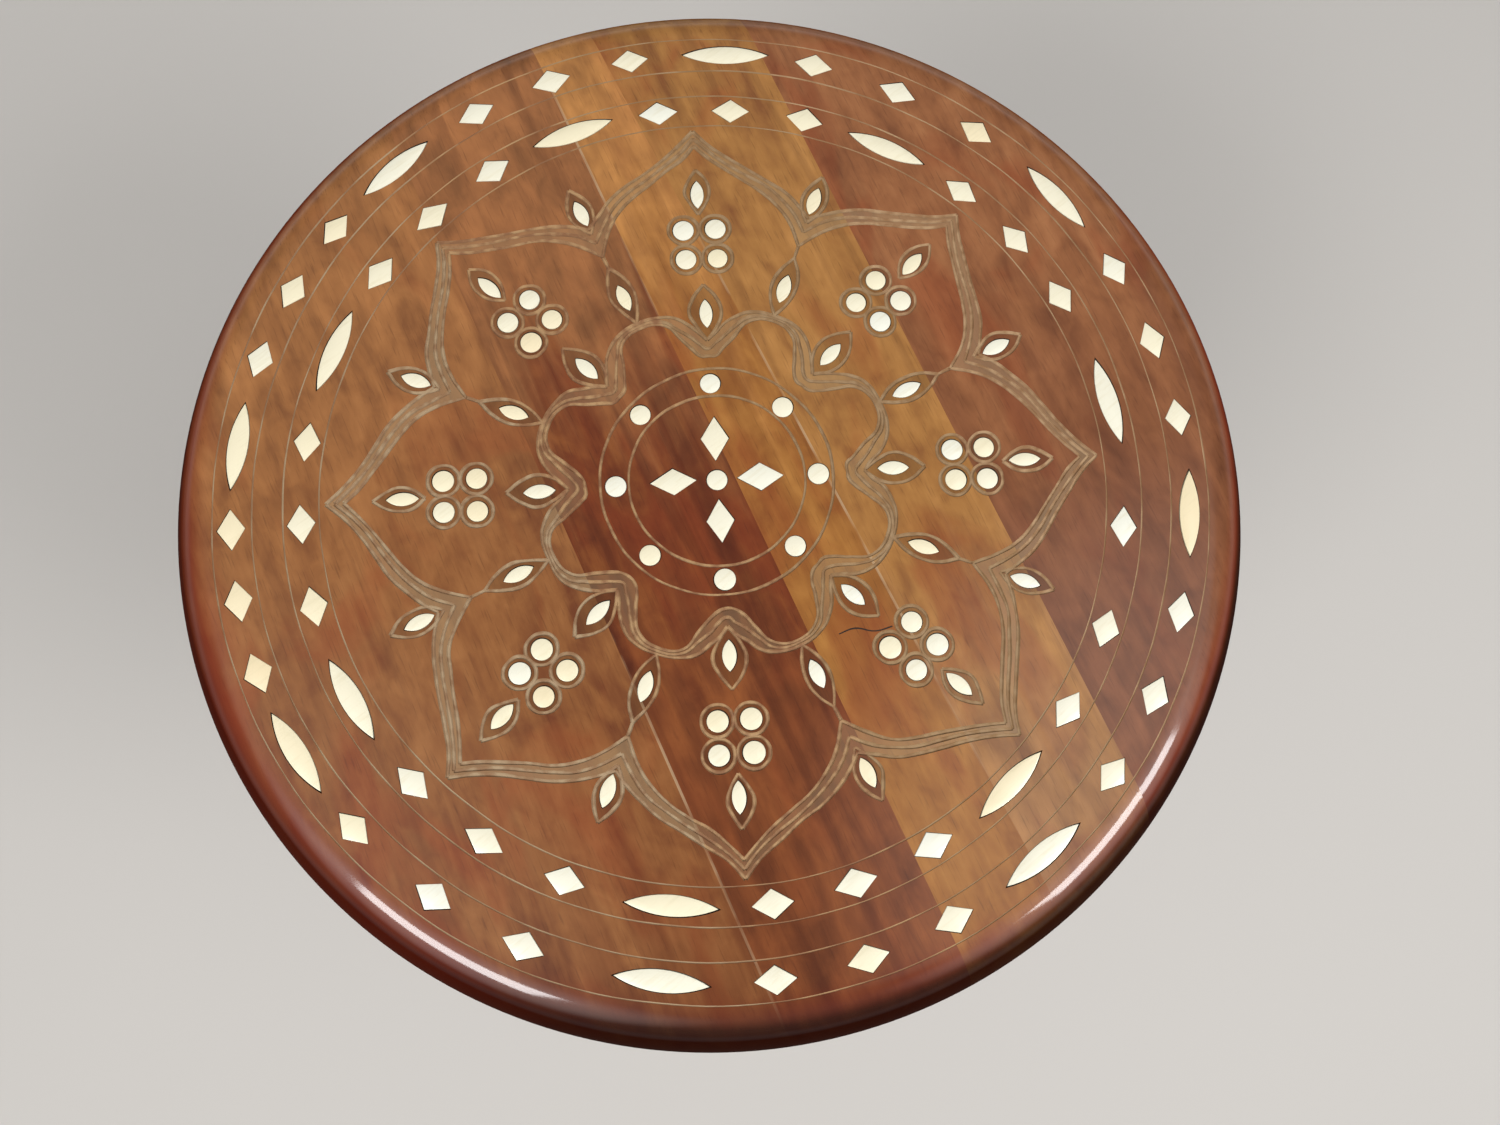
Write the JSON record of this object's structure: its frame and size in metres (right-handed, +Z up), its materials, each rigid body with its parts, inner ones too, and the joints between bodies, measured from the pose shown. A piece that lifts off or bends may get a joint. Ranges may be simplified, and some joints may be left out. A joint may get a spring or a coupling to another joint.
{
  "type": "pedestal side table",
  "caption": "Round wooden side table with a cream-inlaid flower top and rounded rim, on a turned column with curved legs.",
  "frame": {"origin": "on the floor, on the column's axis", "axes": "+Z up; +X along a petal of the inlaid flower, to the right in the picture; +Y away from the picture's viewer"},
  "size_m": [0.38, 0.38, 0.5],
  "materials": {
    "top_wood": "varnished, satin gloss",
    "base_wood": "varnished, satin gloss",
    "cream_inlay": "polished, bone-like",
    "plate_steel": "black lacquer",
    "screw_steel": "zinc plated",
    "felt": "felt"
  },
  "bodies": {
    "root": {"top_board_1": "top_wood", "top_board_2": "top_wood", "top_board_3": "top_wood", "top_board_4": "top_wood", "top_board_5": "top_wood", "centre_dot_inlay": "cream_inlay", "centre_diamond_inlays": "cream_inlay", "ring_dot_inlays": "cream_inlay", "petal_dot_inlays": "cream_inlay", "petal_tip_leaf_inlays": "cream_inlay", "petal_base_leaf_inlays": "cream_inlay", "inner_junction_leaf_inlays": "cream_inlay", "outer_junction_leaf_inlays": "cream_inlay", "inner_border_lens_inlays": "cream_inlay", "inner_border_diamond_inlays": "cream_inlay", "outer_border_lens_inlays": "cream_inlay", "outer_border_diamond_inlays": "cream_inlay", "bearer_1": "base_wood", "bearer_2": "base_wood", "column_block": "base_wood", "column": "base_wood", "leg_1": "base_wood", "leg_2": "base_wood", "leg_3": "base_wood", "spider_plate": "plate_steel", "bearer_screws": "screw_steel", "block_screws": "screw_steel", "spider_screws": "screw_steel", "foot_pad_1": "felt", "foot_pad_2": "felt", "foot_pad_3": "felt"}
  },
  "joints": []
}
